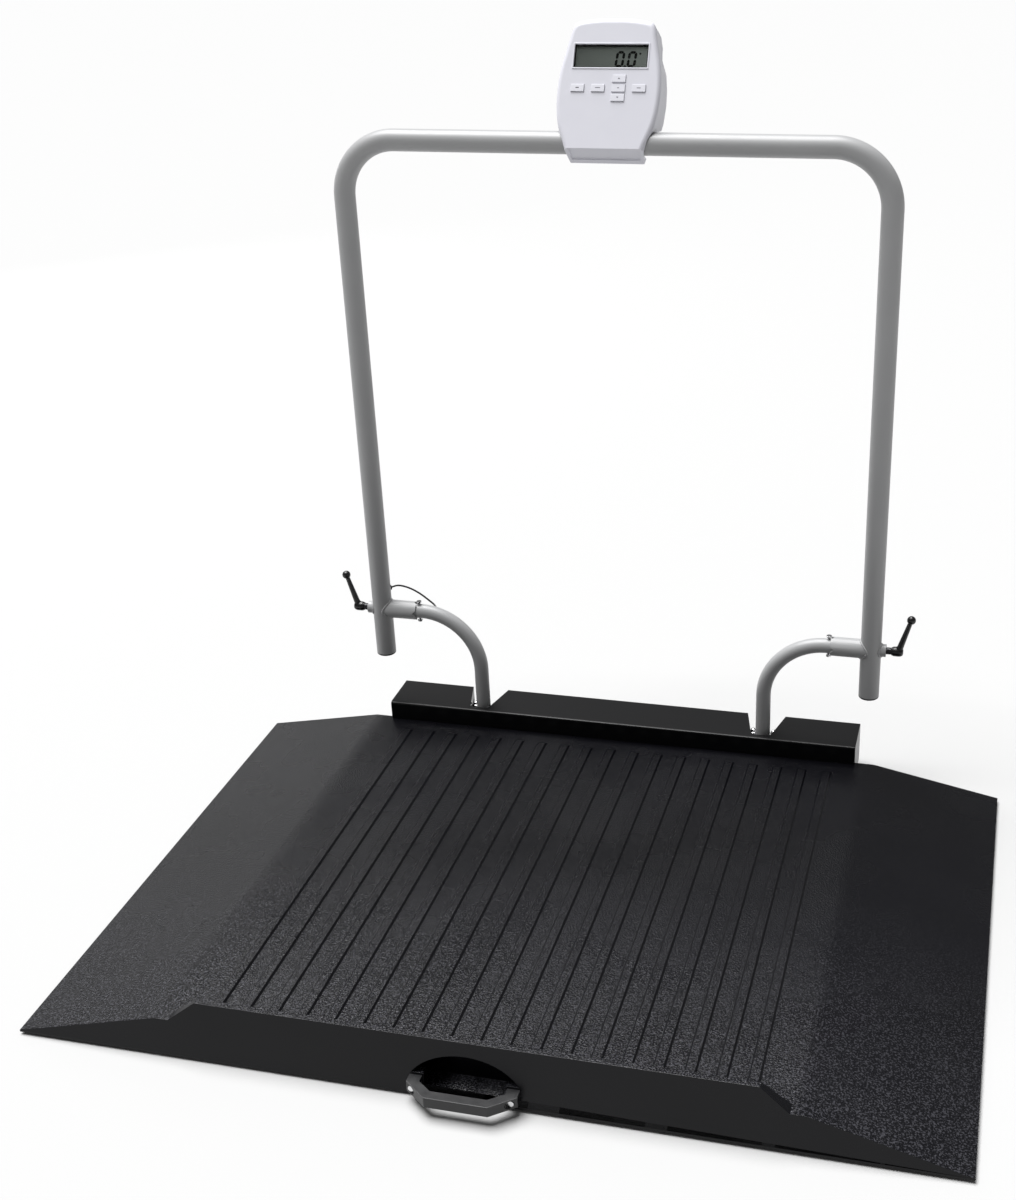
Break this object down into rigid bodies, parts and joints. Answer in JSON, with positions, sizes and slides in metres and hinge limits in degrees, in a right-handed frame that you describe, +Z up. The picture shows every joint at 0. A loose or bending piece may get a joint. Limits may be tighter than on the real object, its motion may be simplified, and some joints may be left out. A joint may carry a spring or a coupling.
{
  "type": "animal weighing scale",
  "caption": "Low platform scale for animals: ribbed deck with a ramp on each side, front pull handle, fold-down tubular handrail and tilting display head.",
  "frame": {"origin": "on the floor under the middle of the footprint of the whole object", "axes": "+X to the right along the ramps as seen from the pull handle, +Y towards the handrail, +Z up"},
  "size_m": [1.15, 0.9254, 1.0905],
  "materials": {
    "deck_plastic": "grained black, semi-gloss",
    "housing_plastic": "gloss black moulding",
    "handle_plastic": "satin black",
    "lever_plastic": "satin black",
    "rail_paint": "light grey powder coat",
    "steel": "plain steel",
    "zinc": "bright plated",
    "rubber": "matt",
    "tyre_rubber": "matt",
    "head_plastic": "light grey moulded plastic",
    "key_plastic": "light grey",
    "lens": "clear window",
    "lcd": "grey-green display",
    "board": "green laminate"
  },
  "bodies": {
    "platform": {"platform_deck": "deck_plastic", "front_handle": "handle_plastic", "front_handle_screw_left": "zinc", "front_handle_screw_right": "zinc", "load_cell_front_left": "steel", "load_cell_front_right": "steel", "load_cell_rear_left": "steel", "load_cell_rear_right": "steel", "foot_front_left": "rubber", "foot_front_right": "rubber", "foot_rear_left": "rubber", "foot_rear_right": "rubber", "rear_beam": "steel", "rear_housing": "housing_plastic", "wheel_axle_left": "zinc", "wheel_axle_right": "zinc", "post_left": "rail_paint", "post_right": "rail_paint", "post_flange_left": "steel", "post_flange_right": "steel", "flange_nut_left_a": "zinc", "flange_nut_left_b": "zinc", "flange_nut_right_a": "zinc", "flange_nut_right_b": "zinc", "cross_bolt_left": "zinc", "cross_bolt_right": "zinc", "signal_cable": "rubber", "cable_grommet_post": "rubber"},
    "handrail": {"handrail_tube": "rail_paint", "collar_left": "rail_paint", "collar_right": "rail_paint", "clamp_boss_left": "rail_paint", "clamp_boss_right": "rail_paint", "leg_cap_left": "lever_plastic", "leg_cap_right": "lever_plastic", "cable_grommet_leg": "rubber"},
    "clamp_left": {"clamp_stud_left": "steel"},
    "clamp_right": {"clamp_stud_right": "steel"},
    "lever_left": {"clamp_lever_left": "lever_plastic"},
    "lever_right": {"clamp_lever_right": "lever_plastic"},
    "wheel_left": {"wheel_hub_left": "handle_plastic", "wheel_tyre_left": "tyre_rubber"},
    "wheel_right": {"wheel_hub_right": "handle_plastic", "wheel_tyre_right": "tyre_rubber"},
    "head": {"head_front_shell": "head_plastic", "head_rear_shell": "head_plastic", "head_tube_clamp": "head_plastic", "tube_clamp_screw_left": "zinc", "tube_clamp_screw_right": "zinc", "lcd_window": "lens", "lcd_module": "lcd", "main_board": "board"},
    "battery_cover": {"battery_door": "head_plastic"},
    "button_zero": {"key_zero": "key_plastic"},
    "button_units": {"key_units": "key_plastic"},
    "button_up": {"key_up": "key_plastic"},
    "button_enter": {"key_enter": "key_plastic"},
    "button_down": {"key_down": "key_plastic"},
    "button_power": {"key_power": "key_plastic"}
  },
  "joints": [
    {"name": "handrail_fold", "type": "hinge", "parent": "platform", "child": "handrail", "pos_m": [0, 0.36172, 0.225], "axis": [1, 0, 0], "range_deg": [0, 90]},
    {"name": "head_tilt", "type": "hinge", "parent": "handrail", "child": "head", "pos_m": [0, 0.36172, 0.94], "axis": [1, 0, 0], "range_deg": [-27, 35]},
    {"name": "clamp_turn_left", "type": "hinge", "parent": "handrail", "child": "clamp_left", "pos_m": [-0.4, 0.36172, 0.225], "axis": [-1, 0, 0], "range_deg": [-150, 150]},
    {"name": "clamp_turn_right", "type": "hinge", "parent": "handrail", "child": "clamp_right", "pos_m": [0.4, 0.36172, 0.225], "axis": [1, 0, 0], "range_deg": [-150, 150]},
    {"name": "lever_pull_left", "type": "slide", "parent": "clamp_left", "child": "lever_left", "axis": [-1, 0, 0], "range_m": [0, 0.004], "stiffness_N_per_m": 400, "springref_m": -0.002},
    {"name": "lever_pull_right", "type": "slide", "parent": "clamp_right", "child": "lever_right", "axis": [1, 0, 0], "range_m": [0, 0.004], "stiffness_N_per_m": 400, "springref_m": -0.002},
    {"name": "wheel_spin_left", "type": "hinge", "parent": "platform", "child": "wheel_left", "pos_m": [-0.346, 0.39432, 0.034], "axis": [1, 0, 0], "continuous": true},
    {"name": "wheel_spin_right", "type": "hinge", "parent": "platform", "child": "wheel_right", "pos_m": [0.346, 0.39432, 0.034], "axis": [1, 0, 0], "continuous": true},
    {"name": "press_zero", "type": "slide", "parent": "head", "child": "button_zero", "axis": [0, 0.8829, -0.4695], "range_m": [0, 0.001], "stiffness_N_per_m": 600, "springref_m": -0.001},
    {"name": "press_units", "type": "slide", "parent": "head", "child": "button_units", "axis": [0, 0.8829, -0.4695], "range_m": [0, 0.001], "stiffness_N_per_m": 600, "springref_m": -0.001},
    {"name": "press_up", "type": "slide", "parent": "head", "child": "button_up", "axis": [0, 0.8829, -0.4695], "range_m": [0, 0.001], "stiffness_N_per_m": 600, "springref_m": -0.001},
    {"name": "press_enter", "type": "slide", "parent": "head", "child": "button_enter", "axis": [0, 0.8829, -0.4695], "range_m": [0, 0.001], "stiffness_N_per_m": 600, "springref_m": -0.001},
    {"name": "press_down", "type": "slide", "parent": "head", "child": "button_down", "axis": [0, 0.8829, -0.4695], "range_m": [0, 0.001], "stiffness_N_per_m": 600, "springref_m": -0.001},
    {"name": "press_power", "type": "slide", "parent": "head", "child": "button_power", "axis": [0, 0.8829, -0.4695], "range_m": [0, 0.001], "stiffness_N_per_m": 600, "springref_m": -0.001},
    {"name": "battery_cover_slide", "type": "slide", "parent": "head", "child": "battery_cover", "axis": [0, -0.4695, -0.8829], "range_m": [0, 0.02]}
  ]
}
